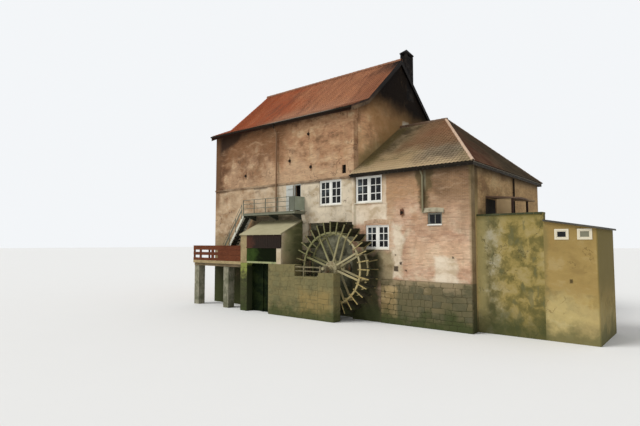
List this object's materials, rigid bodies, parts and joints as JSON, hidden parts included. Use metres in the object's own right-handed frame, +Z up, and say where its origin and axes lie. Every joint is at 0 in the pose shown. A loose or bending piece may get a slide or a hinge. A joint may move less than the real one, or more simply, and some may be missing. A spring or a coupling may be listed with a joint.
{
  "type": "watermill",
  "caption": "Tall gabled brick watermill with hipped annex, paddle wheel on a stone pier, sluice housing, outside steel stair, boarded bridge piece and garden tower.",
  "frame": {"origin": "middle of the model's bounding box at the water line, on the ground plane", "axes": "+X along the river front towards the small tower, +Y from the river front to the back, +Z up"},
  "size_m": [26.625, 14.55, 18.96],
  "materials": {
    "brick_tall": "matte",
    "brick_annex": "matte",
    "red_tiles": "matte",
    "old_tiles": "matte",
    "hip_tiles": "matte",
    "dark_boards": "matte",
    "zinc": "satin",
    "iron": "matte",
    "floor_boards": "matte",
    "sooty_brick": "matte",
    "white_paint": "satin",
    "pane": "gloss",
    "blue_grey_paint": "satin",
    "green_grey_steel": "satin",
    "brown_boards": "matte",
    "grey_boards": "matte",
    "pale_posts": "matte",
    "wet_stone": "matte",
    "wet_boards": "matte",
    "ochre_stone": "matte",
    "pale_lintel": "matte",
    "canopy_sheet": "matte",
    "cream_steel": "matte",
    "shaft_iron": "matte",
    "float_boards": "matte",
    "pale_hood": "matte",
    "ochre_plaster": "matte",
    "felt": "matte"
  },
  "bodies": {
    "body": {"house_front_wall_left": "brick_tall", "house_front_wall_right": "brick_tall", "house_recess_wall": "brick_tall", "house_door_bay": "brick_tall", "house_back_wall": "brick_tall", "house_left_gable": "brick_tall", "house_right_gable": "brick_tall", "house_roof_front": "red_tiles", "house_roof_back": "red_tiles", "house_ridge": "red_tiles", "verge_boards": "dark_boards", "gutters": "zinc", "downpipes": "zinc", "wall_anchors": "iron", "floors": "floor_boards", "chimney_stack": "sooty_brick", "chimney_cap": "sooty_brick", "window_frames": "white_paint", "window_glass": "pane", "landing_door": "blue_grey_paint", "landing_floor": "green_grey_steel", "landing_brackets": "green_grey_steel", "landing_railing": "green_grey_steel", "landing_end_railing": "green_grey_steel", "stair_stringers": "green_grey_steel", "stair_treads": "green_grey_steel", "stair_railing": "green_grey_steel", "bridge_deck": "grey_boards", "bridge_posts": "pale_posts", "bridge_parapet": "brown_boards", "sluice_pier": "ochre_stone", "sluice_gate": "wet_boards", "sluice_lintel": "pale_lintel", "breast_wall": "wet_stone", "timber_housing": "brown_boards", "housing_side_wall": "wet_stone", "canopy_roof": "canopy_sheet", "wheel_pier": "ochre_stone", "race_end_wall": "wet_stone", "wheel_guard": "grey_boards", "wheel_bearings": "iron", "annex_front_wall": "brick_annex", "annex_back_wall": "brick_annex", "annex_right_wall": "brick_annex", "annex_roof_front": "old_tiles", "annex_roof_back": "old_tiles", "annex_roof_hip": "old_tiles", "annex_ridge_tiles": "hip_tiles", "shelter_roof": "pale_hood", "shelter_posts": "grey_boards", "shelter_panel": "pale_hood", "garden_wall": "ochre_plaster", "tower_walls": "ochre_plaster", "tower_roof": "felt"},
    "wheel": {"wheel_shaft": "shaft_iron", "wheel_hubs": "shaft_iron", "wheel_spokes": "cream_steel", "wheel_rings": "cream_steel", "float_arms": "cream_steel", "wheel_floats": "float_boards"}
  },
  "joints": [
    {"name": "wheel_spin", "type": "hinge", "parent": "body", "child": "wheel", "pos_m": [-0.5475, -5.91, 3.02], "axis": [0, 1, 0], "continuous": true}
  ]
}
